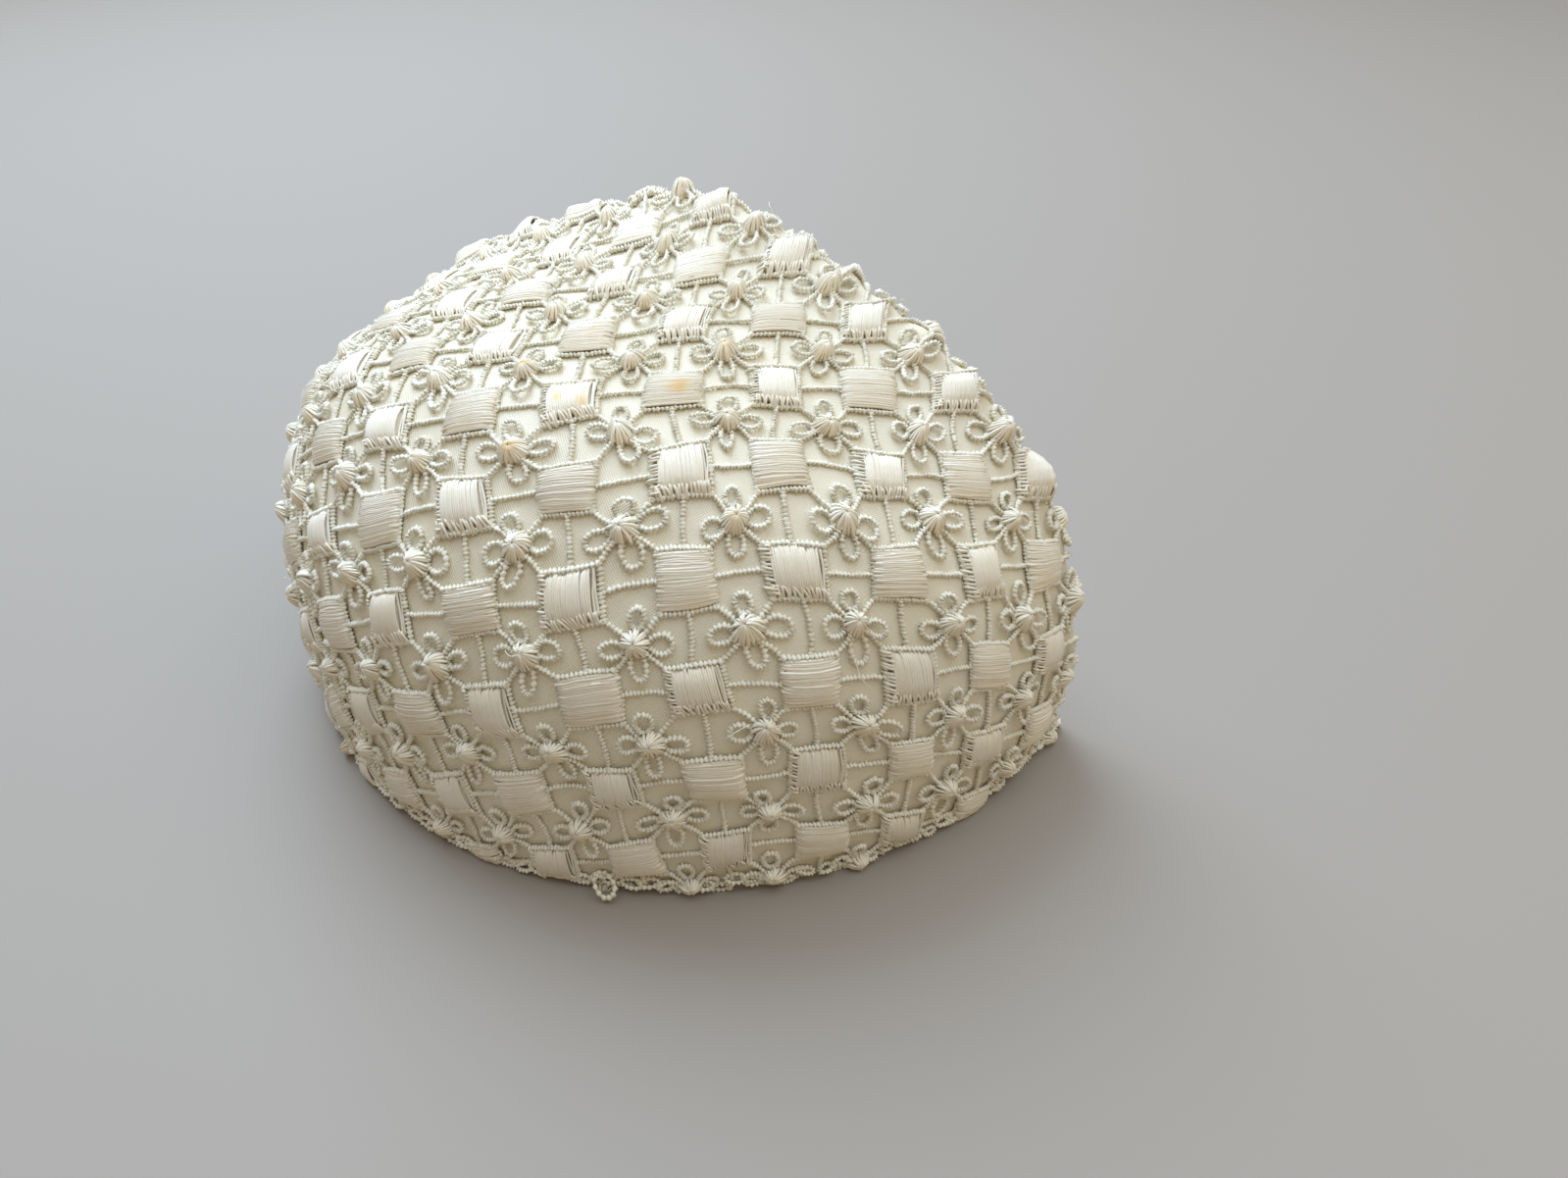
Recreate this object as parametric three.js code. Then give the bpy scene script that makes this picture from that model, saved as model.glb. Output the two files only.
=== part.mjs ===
// Lace bonnet: a stiff satin cap shaped like a hood, open below at the neck and open at the face,
// under a cover of openwork lace. It stands on its neck rim.
// Millimetres, +Z up, +Y towards the face opening, origin on the ground under the bonnet's middle.

import * as THREE from 'three';

// Form of the cap. Every point is measured from a centre inside the head hollow.
const centreHeight = 20;
const centreForward = 42.67;
const halfWidth = 89.5;

// Side profile over the crown: the reach from the centre, swept from the nape (below 0 degrees)
// round the back (0), over the shoulder (40) and the top (90) to the peak above the forehead.
const sweepStep = 20;
const crownSections = [
  { sweep: -20, reach: 93.5 },
  { sweep: 0, reach: 90 },
  { sweep: 20, reach: 89 },
  { sweep: 40, reach: 82.5 },
  { sweep: 60, reach: 71 },
  { sweep: 80, reach: 67 },
  { sweep: 100, reach: 73 },
  { sweep: 120, reach: 79.5 },
];

// Face edge in plan: it comes forward from the cheeks to a peak over the forehead.
const faceEdge = { cheek: -6.6, peak: 7.3, power: 1.45 };

// Lobes of the front: one at the peak and one at each temple, with dips between them. They fade
// towards the back and the neck rim. One shoulder, on the left, is fuller than the other.
const frontLobes = { turns: 6, rise: 1.2, fadeBack: 32, fadeDown: 15, most: 1.15 };
const fullShoulder = {
  direction: new THREE.Vector3(-62, -38, 44).normalize(),
  rise: 3.2,
  spread: THREE.MathUtils.degToRad(21),
};

// Satin cap
const satinWall = 2;
const capColumns = 34;
const capRows = 12;

// Lace cover. Its repeat is a square of one pitch: a raised block on each knot, bars from block to
// block, and a window with a stepped outline between four blocks.
const pitch = 17.5;
const laceGap = 0.45;
const laceThickness = 1.2;
const blockRise = 0.7;
const blockSide = 8.75;
const blockSkirtSide = 7.7;
const blockTopSide = 6.7;
const barWidth = 1.9;
const windowHem = 2.6;
const blockHem = 1.6;
const laceGroundGap = 0.8;
const edgeStep = 7;
const longestEdge = 10;

// How the lace lies: the knot that is laid first, the turn of its rows from the bonnet's own axis,
// how far the sheet is laid past the edges, and how stiffly it resists being pulled square.
const firstKnot = new THREE.Vector3(32, -54.3, 53);
const rowTurn = THREE.MathUtils.degToRad(35.5);
const netColumns = { first: -12, last: 6 };
const netRows = { first: -9, last: 7 };
const netMargin = 26;
const netRadius = 84;
const netRounds = 120;
const threadStiffness = 0.5;
const skewStiffness = 0.09;
const farthestKnot = THREE.MathUtils.degToRad(144);
const thinnestCell = 0.79 * pitch * pitch;

const satinMaterial = new THREE.MeshStandardMaterial({ color: 0xefe9d8, roughness: 0.5, metalness: 0 });
const laceMaterial = new THREE.MeshStandardMaterial({ color: 0xf4efdf, roughness: 0.75, metalness: 0 });

// The form

function reachAt(sweep) {
  const last = crownSections.length - 1;
  const place = (THREE.MathUtils.radToDeg(sweep) - crownSections[0].sweep) / sweepStep;
  const row = Math.min(Math.max(Math.floor(place), 0), last - 1);
  const t = Math.min(Math.max(place - row, 0), 1);
  const [a, b, c, d] = [-1, 0, 1, 2].map(
    (step) => crownSections[Math.min(Math.max(row + step, 0), last)].reach,
  );
  const bend = (2 * a - 5 * b + 4 * c - d) * t * t + (3 * b - a - 3 * c + d) * t ** 3;
  return 0.5 * (2 * b + (c - a) * t + bend);
}

function faceLine(x) {
  const out = Math.min(Math.abs(x) / halfWidth, 1) ** faceEdge.power;
  return faceEdge.cheek + (faceEdge.peak - faceEdge.cheek) * (1 - out);
}

// How far the lobes and the full shoulder raise a point of the plain form, at a unit direction.
function riseAt(direction, radius) {
  const near = 1 + radius * direction.y / frontLobes.fadeBack;
  const above = 1 + radius * direction.z / frontLobes.fadeDown;
  const fade = THREE.MathUtils.clamp(near, 0, frontLobes.most) ** 2 * THREE.MathUtils.clamp(above, 0, 1);
  const fromTop = Math.atan2(Math.abs(direction.x), direction.z);
  const lobes = frontLobes.rise * fade * Math.cos(frontLobes.turns * fromTop);
  const away = direction.angleTo(fullShoulder.direction) / fullShoulder.spread;
  return lobes + fullShoulder.rise * Math.exp(-away * away);
}

// The point of the form that lies along a direction from the centre, lifted off the cap's surface.
function formPoint(direction, lift) {
  const point = direction.clone().normalize();
  const across = Math.hypot(point.y, point.z);
  const reach = reachAt(Math.atan2(point.z, -point.y));
  const radius = 1 / Math.hypot(point.x / halfWidth, across / reach);
  return point.multiplyScalar(radius + riseAt(point, radius) + lift);
}

// Repeats a guess of an angle until the point that it gives fits.
function settleAngle(angle, better) {
  const tries = 12;
  for (let k = 0; k < tries; k++) angle = better(angle);
  return angle;
}

// Direction to the neck rim at a plan angle, from the right side (0) round the back to the left.
function rimDirection(planAngle, lift, height) {
  const along = (tilt) => new THREE.Vector3(
    Math.cos(planAngle) * Math.cos(tilt),
    -Math.sin(planAngle) * Math.cos(tilt),
    Math.sin(tilt),
  );
  const drop = centreHeight - height;
  return along(settleAngle(0, (tilt) => -Math.asin(drop / formPoint(along(tilt), lift).length())));
}

// Direction to the face edge at an arch angle, from the right side (0) over the top to the left.
function faceDirection(archAngle, lift) {
  const along = (lean) => new THREE.Vector3(
    Math.cos(archAngle) * Math.cos(lean),
    Math.sin(lean),
    Math.sin(archAngle) * Math.cos(lean),
  );
  const better = (lean) => {
    const point = formPoint(along(lean), lift);
    return Math.asin(faceLine(point.x) / point.length());
  };
  return along(settleAngle(0, better));
}

// The plan angle and the arch angle of the cheek corner, where the neck rim meets the face edge.
function cheekAngles(lift, height) {
  const corner = (plan) => formPoint(rimDirection(plan, lift, height), lift);
  const plan = settleAngle(0, (angle) => Math.atan2(-faceLine(corner(angle).x), corner(angle).x));
  return { plan, arch: Math.atan2(corner(plan).z, corner(plan).x) };
}

function directionBetween(from, to, share) {
  const angle = from.angleTo(to);
  return from.clone().multiplyScalar(Math.sin((1 - share) * angle))
    .addScaledVector(to, Math.sin(share * angle))
    .normalize();
}

// Sheets

// Closes an outer and an inner surface with the same faces into one body, with walls round its edges.
function closeSheet(outer, inner, faces) {
  const triangles = [];
  const count = outer.length;
  const edges = new Set(faces.flatMap(([a, b, c]) => [`${a},${b}`, `${b},${c}`, `${c},${a}`]));
  for (const [a, b, c] of faces) {
    triangles.push(a, b, c, a + count, c + count, b + count);
    for (const [from, to] of [[a, b], [b, c], [c, a]]) {
      if (edges.has(`${to},${from}`)) continue;
      triangles.push(to, from, from + count, to, from + count, to + count);
    }
  }
  const geometry = new THREE.BufferGeometry();
  geometry.setFromPoints([...outer, ...inner]);
  geometry.setIndex(triangles);
  geometry.computeVertexNormals();
  return geometry;
}

// Surface of the cap: rows of points from the neck rim to the face edge, between the cheek corners.
function capSurface(lift) {
  const cheek = cheekAngles(lift, 0);
  const points = [formPoint(rimDirection(cheek.plan, lift, 0), lift)];
  for (let column = 1; column < capColumns; column++) {
    const share = column / capColumns;
    const rim = rimDirection(THREE.MathUtils.lerp(cheek.plan, Math.PI - cheek.plan, share), lift, 0);
    const face = faceDirection(THREE.MathUtils.lerp(cheek.arch, Math.PI - cheek.arch, share), lift);
    for (let row = 0; row <= capRows; row++) {
      points.push(formPoint(directionBetween(rim, face, row / capRows), lift));
    }
  }
  points.push(formPoint(rimDirection(Math.PI - cheek.plan, lift, 0), lift));
  return points;
}

function makeSatinCap() {
  const faces = [];
  const at = (column, row) => 1 + (column - 1) * (capRows + 1) + row;
  const last = 1 + (capColumns - 1) * (capRows + 1);
  for (let row = 0; row < capRows; row++) {
    faces.push([0, at(1, row + 1), at(1, row)]);
    faces.push([last, at(capColumns - 1, row), at(capColumns - 1, row + 1)]);
    for (let column = 1; column < capColumns - 1; column++) {
      faces.push([at(column, row), at(column, row + 1), at(column + 1, row + 1)]);
      faces.push([at(column, row), at(column + 1, row + 1), at(column + 1, row)]);
    }
  }
  return closeSheet(capSurface(0), capSurface(-satinWall), faces);
}

// The lace net

// Lays the knots of the lace as a net of threads of one pitch, and lets it settle on the form.
function layNet() {
  const lift = laceGap + laceThickness;
  const start = formPoint(firstKnot, lift);
  const out = start.clone().normalize();
  const along = new THREE.Vector3(Math.cos(rowTurn), Math.sin(rowTurn), 0)
    .projectOnPlane(out)
    .normalize();
  const down = new THREE.Vector3().crossVectors(along, out).normalize();
  const net = new Map();
  for (let column = netColumns.first; column <= netColumns.last; column++) {
    for (let row = netRows.first; row <= netRows.last; row++) {
      const side = along.clone().multiplyScalar(column).addScaledVector(down, row);
      const arc = side.length() * pitch / netRadius;
      if (arc > farthestKnot) continue;
      const knot = out.clone().multiplyScalar(Math.cos(arc))
        .addScaledVector(side.normalize(), Math.sin(arc));
      const point = formPoint(knot, lift);
      if (edgeRoom(point) > -netMargin) net.set(`${column},${row}`, point);
    }
  }
  const links = [];
  const square = [
    { column: 1, row: 0, stiffness: threadStiffness },
    { column: 0, row: 1, stiffness: threadStiffness },
    { column: 1, row: 1, stiffness: skewStiffness },
    { column: 1, row: -1, stiffness: skewStiffness },
  ];
  for (const [key, knot] of net) {
    const [column, row] = key.split(',').map(Number);
    for (const step of square) {
      const other = net.get(`${column + step.column},${row + step.row}`);
      const rest = pitch * Math.hypot(step.column, step.row);
      if (other) links.push({ knot, other, rest, stiffness: step.stiffness });
    }
  }
  const pull = new THREE.Vector3();
  for (let round = 0; round < netRounds; round++) {
    for (const { knot, other, rest, stiffness } of links) {
      pull.subVectors(other, knot);
      pull.multiplyScalar(0.5 * stiffness * (1 - rest / pull.length()));
      knot.add(pull);
      other.sub(pull);
    }
    for (const knot of net.values()) knot.copy(formPoint(knot, lift));
    const beside = net.get('1,0');
    beside.copy(formPoint(start.clone().addScaledVector(along, beside.distanceTo(start)), lift));
    net.get('0,0').copy(start);
  }
  return net;
}

// Room from a point of the form to the nearer of the ground and the face edge.
function edgeRoom(point) {
  return Math.min(point.z + centreHeight, faceLine(point.x) - point.y);
}

// Area between four knots, from the cell's two diagonals.
function cellArea([a, b, c, d]) {
  const diagonal = d.clone().sub(a);
  return 0.5 * diagonal.cross(b.clone().sub(c)).length();
}

// Directions to places in the lace, given in pitches from a knot. None if the net ends before them
// or is pulled too thin there.
function laceDirections(net, places) {
  const directions = [];
  for (const [u, v] of places) {
    const column = Math.floor(u);
    const row = Math.floor(v);
    const corners = [[0, 0], [1, 0], [0, 1], [1, 1]].map(
      ([i, j]) => net.get(`${column + i},${row + j}`),
    );
    if (corners.includes(undefined) || cellArea(corners) < thinnestCell) return null;
    const top = corners[0].clone().lerp(corners[1], u - column);
    const bottom = corners[2].clone().lerp(corners[3], u - column);
    directions.push(top.lerp(bottom, v - row).normalize());
  }
  return directions;
}

// A quarter turn, in a flat place of the lace, made a number of times.
function turnPlace([u, v], turns) {
  return [[u, v], [-v, u], [-u, -v], [v, -u]][turns];
}

// Outlines in the middle of four knots, from its right side round: the whole window, square to the
// bars and stepped round the blocks, and the half of it on the right, for where a hem cuts it.
const barEdge = 0.5 - 0.5 * barWidth / pitch;
const blockEdge = 0.5 - 0.5 * blockSide / pitch;
const windowQuarter = [[barEdge, -blockEdge], [barEdge, blockEdge], [blockEdge, blockEdge]];
const wholeWindow = [0, 1, 2, 3].flatMap((turns) => windowQuarter.map((p) => turnPlace(p, turns)));
const halfWindow = [
  ...wholeWindow.slice(0, 4), [0, barEdge], [0, -barEdge], ...wholeWindow.slice(10),
];

function squareOfSide(side) {
  const half = 0.5 * side / pitch;
  return [[half, -half], [half, half], [-half, half], [-half, -half]];
}

// Edge of the lace sheet: along the neck rim, just off the ground, and back along the face edge.
function laceOutline() {
  const cheek = cheekAngles(0, laceGroundGap);
  const outline = [];
  const rimSteps = Math.round(Math.PI * halfWidth / edgeStep);
  for (let k = 0; k <= rimSteps; k++) {
    const plan = THREE.MathUtils.lerp(cheek.plan, Math.PI - cheek.plan, k / rimSteps);
    outline.push(rimDirection(plan, 0, laceGroundGap));
  }
  for (let k = 1; k < rimSteps; k++) {
    const arch = THREE.MathUtils.lerp(Math.PI - cheek.arch, cheek.arch, k / rimSteps);
    outline.push(faceDirection(arch, 0));
  }
  return outline;
}

// A flat chart of the directions, seen from outside the shoulder, in which the sheet is cut up.
const chartMiddle = new THREE.Vector3(0, -1, 1).normalize();
const chartUp = new THREE.Vector3(0, 1, 1).normalize();

function chart(direction) {
  const depth = 1 + direction.dot(chartMiddle);
  return new THREE.Vector2(direction.x / depth, direction.dot(chartUp) / depth);
}

function directionInChart(place) {
  const far = place.lengthSq();
  return new THREE.Vector3(2 * place.x, 0, 0)
    .addScaledVector(chartUp, 2 * place.y)
    .addScaledVector(chartMiddle, 1 - far)
    .normalize();
}

// Halves each edge that is too long to follow the curve of the form, with both of its faces.
function splitLongEdges(directions, faces, lift) {
  const length = (a, b) => formPoint(directions[a], lift).distanceTo(formPoint(directions[b], lift));
  for (;;) {
    const middles = new Map();
    const cut = [];
    for (const face of faces) {
      const sizes = [0, 1, 2].map((k) => length(face[k], face[(k + 1) % 3]));
      const k = sizes.indexOf(Math.max(...sizes));
      const [a, b] = [face[k], face[(k + 1) % 3]];
      if (sizes[k] <= longestEdge) continue;
      if (!middles.has(`${a},${b}`)) {
        const place = chart(directions[a]).lerp(chart(directions[b]), 0.5);
        const middle = directions.push(directionInChart(place)) - 1;
        middles.set(`${a},${b}`, middle);
        middles.set(`${b},${a}`, middle);
      }
    }
    if (middles.size === 0) return faces;
    for (const face of faces) {
      const k = [0, 1, 2].find((i) => middles.has(`${face[i]},${face[(i + 1) % 3]}`));
      if (k === undefined) {
        cut.push(face);
        continue;
      }
      const [a, b, c] = [face[k], face[(k + 1) % 3], face[(k + 2) % 3]];
      const middle = middles.get(`${a},${b}`);
      const second = middles.get(`${b},${c}`);
      const third = middles.get(`${c},${a}`);
      if (second !== undefined && third !== undefined) {
        cut.push([a, middle, third], [middle, b, second], [second, c, third], [middle, second, third]);
      } else if (second !== undefined) {
        cut.push([middle, b, second], [a, middle, second], [a, second, c]);
      } else if (third !== undefined) {
        cut.push([a, middle, third], [middle, b, third], [third, b, c]);
      } else {
        cut.push([a, middle, c], [middle, b, c]);
      }
    }
    faces = cut;
  }
}

// The windows that fit between the hems: whole ones, and halves of those that a hem cuts.
function cutWindows(net, place) {
  const windows = new Map();
  for (const key of net.keys()) {
    const whole = place(key, 0.5, wholeWindow, windowHem);
    if (whole) windows.set(key, { outline: whole, whole: true });
    for (let turns = 0; turns < 4 && !windows.has(key); turns++) {
      const half = place(key, 0.5, halfWindow.map((p) => turnPlace(p, turns)), windowHem);
      if (half) windows.set(key, { outline: half, whole: false });
    }
  }
  return windows;
}

function makeLaceCover() {
  const net = layNet();
  const base = laceGap + laceThickness;

  // Directions to the places of an outline about a knot, if they all keep the hem's width.
  const place = (key, offset, outline, hem) => {
    const [column, row] = key.split(',').map(Number);
    const places = outline.map(([u, v]) => [column + offset + u, row + offset + v]);
    const directions = laceDirections(net, places);
    const fits = directions?.every((d) => edgeRoom(formPoint(d, 0)) > hem);
    return fits ? directions : null;
  };
  const windows = cutWindows(net, place);
  const directions = laceOutline();
  const outlineEnd = directions.length;
  const holes = [];
  const addRing = (ring) => directions.push(...ring) - ring.length;
  for (const { outline } of windows.values()) {
    addRing(outline);
    holes.push(outline);
  }

  // Blocks: a raised top on each knot, on a skirt of its own where no window bounds it.
  const tops = [];
  const skirts = [];
  for (const key of net.keys()) {
    const [column, row] = key.split(',').map(Number);
    const top = place(key, 0, squareOfSide(blockTopSide), blockHem);
    const skirt = place(key, 0, squareOfSide(blockSkirtSide), blockHem);
    if (!top || !skirt) continue;
    const beside = [[0, 0], [-1, 0], [0, -1], [-1, -1]].map(
      ([i, j]) => windows.get(`${column + i},${row + j}`),
    );
    const bounded = beside.every((opening) => opening?.whole);
    holes.push(bounded ? top : skirt);
    const ring = addRing(bounded ? top : skirt);
    if (bounded) tops.push(ring);
    else skirts.push({ ring, top });
  }
  let faces = THREE.ShapeUtils.triangulateShape(
    directions.slice(0, outlineEnd).map(chart),
    holes.map((hole) => hole.map(chart)),
  );
  for (const { ring, top } of skirts) {
    const first = addRing(top);
    tops.push(first);
    for (let k = 0; k < 4; k++) {
      const next = (k + 1) % 4;
      faces.push([ring + k, ring + next, first + next], [ring + k, first + next, first + k]);
    }
  }
  const raised = new Set();
  for (const first of tops) {
    faces.push([first, first + 1, first + 2], [first, first + 2, first + 3]);
    for (let k = 0; k < 4; k++) raised.add(first + k);
  }
  faces = faces.map(([a, b, c]) => {
    const [p, q, r] = [a, b, c].map((k) => chart(directions[k]));
    return q.clone().sub(p).cross(r.clone().sub(p)) > 0 ? [a, b, c] : [a, c, b];
  });
  faces = splitLongEdges(directions, faces, base);
  const outer = directions.map((d, k) => formPoint(d, base + (raised.has(k) ? blockRise : 0)));
  const inner = directions.map((d) => formPoint(d, laceGap));
  return closeSheet(outer, inner, faces);
}

// Assembly

const bonnet = new THREE.Group();
bonnet.position.set(0, centreForward, centreHeight);

function addPiece(name, geometry, material) {
  const piece = new THREE.Mesh(geometry, material);
  piece.name = name;
  bonnet.add(piece);
}

addPiece('satin_cap', makeSatinCap(), satinMaterial);
addPiece('lace_cover', makeLaceCover(), laceMaterial);

export default bonnet;
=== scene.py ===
import math

import bpy
import numpy as np
from mathutils import Matrix, Vector


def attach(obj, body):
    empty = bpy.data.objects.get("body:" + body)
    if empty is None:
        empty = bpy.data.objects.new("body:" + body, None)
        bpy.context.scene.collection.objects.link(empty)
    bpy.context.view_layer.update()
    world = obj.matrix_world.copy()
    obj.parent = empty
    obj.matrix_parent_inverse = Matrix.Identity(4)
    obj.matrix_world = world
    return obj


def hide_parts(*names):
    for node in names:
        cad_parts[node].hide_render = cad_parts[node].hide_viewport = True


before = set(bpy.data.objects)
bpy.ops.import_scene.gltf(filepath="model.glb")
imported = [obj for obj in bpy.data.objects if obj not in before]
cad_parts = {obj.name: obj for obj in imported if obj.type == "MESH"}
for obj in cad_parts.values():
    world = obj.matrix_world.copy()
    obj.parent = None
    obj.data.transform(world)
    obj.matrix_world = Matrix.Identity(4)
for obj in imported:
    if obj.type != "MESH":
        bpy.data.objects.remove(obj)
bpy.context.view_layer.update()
print("frame loaded with", sorted(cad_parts))

mm = 0.001
chance = np.random.default_rng(7)  # small unevenness, the same on every run
anyStart = (0, 6.3)  # where a wave may begin


# form of the bonnet, in millimetres from a centre inside the head hollow, as in the solids
bonnetForm = {
    "centre": (0.0, 42.67, 20.0),
    "halfWidth": 89.5,
    "firstSweep": -20.0,
    "sweepStep": 20.0,
    "reaches": (93.5, 90.0, 89.0, 82.5, 71.0, 67.0, 73.0, 79.5),  # nape, back, shoulder, top, peak
    "cheek": -6.6,
    "peak": 7.3,
    "edgePower": 1.45,
    "lobes": 6,  # waves of the front, from the peak down to the cheeks
    "lobeRise": 1.2,
    "lobeMost": 1.15,
    "lobeBack": 32.0,  # how far they go towards the back and down to the rim
    "lobeDown": 15.0,
    "shoulder": (-62.0, -38.0, 44.0),  # towards the fuller shoulder
    "shoulderRise": 3.2,
    "shoulderSpread": 21.0,
    "rimHem": 1.2,  # radius of the rolled hem along the neck rim
    "faceHem": 2.4,  # and of the fuller one along the face edge
    "hemLace": 1.0,  # how far the lace's middle lies off a hem
    "faceInset": 1.0,
    "rimHeight": 2.2,
    "rimSlope": -0.2,  # from the centre towards the rim
    "edgeRounds": 5,  # steps that bring a point onto an edge
    "groundGap": 0.05,
}
formCentre = np.array(bonnetForm["centre"])
rimLevel = bonnetForm["rimHeight"] - bonnetForm["centre"][2]


def unit(v):
    return v / np.linalg.norm(v, axis=-1, keepdims=True)


def reachAt(sweep):
    # a smooth curve through the table of reaches
    table = np.array(bonnetForm["reaches"])
    last = len(table) - 1
    place = (np.degrees(sweep) - bonnetForm["firstSweep"]) / bonnetForm["sweepStep"]
    row = np.clip(np.floor(place), 0, last - 1).astype(int)
    t = np.clip(place - row, 0, 1)
    a, b, c, d = (table[np.clip(row + step, 0, last)] for step in (-1, 0, 1, 2))
    bend = (2 * a - 5 * b + 4 * c - d) * t * t + (3 * b - a - 3 * c + d) * t**3
    return 0.5 * (2 * b + (c - a) * t + bend)


def faceLine(x):
    out = np.clip(np.abs(x) / bonnetForm["halfWidth"], 0, 1) ** bonnetForm["edgePower"]
    return bonnetForm["cheek"] + (bonnetForm["peak"] - bonnetForm["cheek"]) * (1 - out)


def riseAt(d, radius):
    # lobes along the front and one fuller shoulder, on top of the plain form
    near = np.clip(1 + radius * d[..., 1] / bonnetForm["lobeBack"], 0, bonnetForm["lobeMost"])
    above = np.clip(1 + radius * d[..., 2] / bonnetForm["lobeDown"], 0, 1)
    fromTop = np.arctan2(np.abs(d[..., 0]), d[..., 2])
    lobes = bonnetForm["lobeRise"] * near**2 * above * np.cos(bonnetForm["lobes"] * fromTop)
    towards = unit(np.array(bonnetForm["shoulder"]))
    away = np.degrees(np.arccos(np.clip(d @ towards, -1, 1))) / bonnetForm["shoulderSpread"]
    return lobes + bonnetForm["shoulderRise"] * np.exp(-(away**2))


def onForm(direction, lift=0.0):
    d = unit(direction)
    across = np.hypot(d[..., 1], d[..., 2])
    reach = reachAt(np.arctan2(d[..., 2], -d[..., 1]))
    radius = 1 / np.hypot(d[..., 0] / bonnetForm["halfWidth"], across / reach)
    return d * (radius + riseAt(d, radius) + lift)[..., None]


def pastEdges(rest):
    # how far a point of the form is below the neck rim, and ahead of the face edge
    under = rimLevel - rest[..., 2]
    ahead = rest[..., 1] - faceLine(rest[..., 0]) + bonnetForm["faceInset"]
    return under, ahead


def rimEdge(rest):
    edge = rest.copy()
    for _ in range(bonnetForm["edgeRounds"]):
        edge[..., 2] = rimLevel
        edge = onForm(edge)
    return edge


def faceEdge(rest):
    edge = rest.copy()
    for _ in range(bonnetForm["edgeRounds"]):
        edge[..., 1] = faceLine(edge[..., 0]) - bonnetForm["faceInset"]
        edge = onForm(edge)
    return edge


def rollOver(edge, out, on, past, lift, hem):
    # round the hem, then back along the inside
    lane = hem + bonnetForm["hemLace"]
    turn = np.clip(past / lane, 0, math.pi)[..., None]
    beyond = np.maximum(past - math.pi * lane, 0)[..., None]
    reach = (hem + lift)[..., None]
    return edge - out * hem + (out * np.cos(turn) + on * np.sin(turn)) * reach - on * beyond


def rollRim(edge, past, lift):
    out = unit(edge * (1, 1, 0))
    return rollOver(edge, out, np.array((0, 0, -1.0)), past, lift, bonnetForm["rimHem"])


def rollFace(edge, past, lift):
    out = unit(edge * (1, 0, 1))
    return rollOver(edge, out, np.array((0, 1.0, 0)), past, lift, bonnetForm["faceHem"])


# the padded face edge puffs out between the stitches that hold it down
facePuff = {
    "rise": 1.4,
    "everywhere": 0.15,  # shares of the rise: even, by the stitches and by longer waves
    "byStitch": 0.4,
    "byWave": 0.25,
    "stitches": 47.0,
    "wavePace": 0.63,
    "waveStart": 1.0,
    "blend": 6.0,  # how far from the edge it sets in
    "fuller": 0.15,
}


def puffAt(points):
    turn = facePuff["stitches"] * np.arctan2(points[..., 2], points[..., 0])
    waves = facePuff["byWave"] * np.sin(facePuff["wavePace"] * turn + facePuff["waveStart"])
    return facePuff["rise"] * (facePuff["everywhere"] + facePuff["byStitch"] * np.sin(turn) + waves)


def layOn(direction, lift):
    # the form's point along a direction, lifted, or rolled over the hem if it is past an edge
    rest = onForm(direction)
    under, ahead = pastEdges(rest)
    near = np.clip(1 + ahead / facePuff["blend"], 0, 1)
    lift = np.asarray(lift, float) * (1 + facePuff["fuller"] * near) + puffAt(rest) * near
    points = onForm(direction, lift)
    low = under > 0
    if low.any():
        points[low] = rollRim(rimEdge(rest[low]), under[low], lift[low])
    front = ahead > np.maximum(under, 0)
    if front.any():
        edge = faceEdge(rest[front])
        edge[..., 2] = np.maximum(edge[..., 2], rimLevel)
        points[front] = rollFace(edge, ahead[front], lift[front])
    return points


# net of the lace: its knots one repeat apart, settled on the form as in the solids
laceNet = {
    "pitch": 17.5,
    "knotLift": 1.65,
    "firstKnot": (32.0, -54.3, 53.0),
    "rowTurn": 35.5,
    "columns": (-12, 6),
    "rows": (-9, 7),
    "margin": 26.0,
    "radius": 84.0,
    "farthest": 144.0,
    "rounds": 120,
    "threadStiffness": 0.5,
    "skewStiffness": 0.09,
    "turnIn": (5.5, 9.0),  # how far the lace goes on past the rim and the face edge
    "corner": 1.0,  # and past both at once
    "squeeze": 0.45,  # least share of its flat area at which a motif is kept
    "squeezeReach": 0.3,  # measured that part of a repeat to each side
}


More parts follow.
